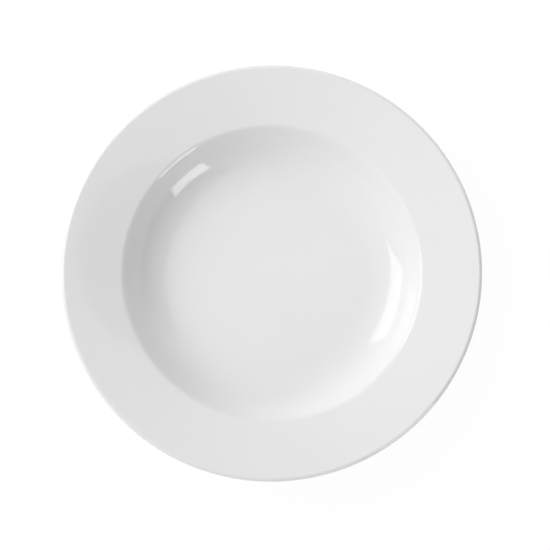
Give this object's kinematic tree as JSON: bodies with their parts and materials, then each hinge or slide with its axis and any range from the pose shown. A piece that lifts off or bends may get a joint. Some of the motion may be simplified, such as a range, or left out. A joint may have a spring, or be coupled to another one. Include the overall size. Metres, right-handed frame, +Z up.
{
  "type": "rimmed soup plate",
  "caption": "Rimmed soup plate in white glazed porcelain: a broad, gently rising rim round a deep, rounded well, on a low bare foot ring.",
  "frame": {"origin": "on the plate's axis, in the plane of the foot ring's standing face", "axes": "+Z up along the plate's axis of revolution; +X and +Y lie in the table plane in no special direction, because the plate is round"},
  "size_m": [0.23, 0.23, 0.0335],
  "materials": {
    "bisque": "fired porcelain, unglazed and ground smooth where the foot stands",
    "glaze": "clear gloss glaze over white porcelain"
  },
  "bodies": {
    "root": {"porcelain_body": "bisque", "glaze_coat": "glaze", "foot_recess_glaze": "glaze"}
  },
  "joints": []
}
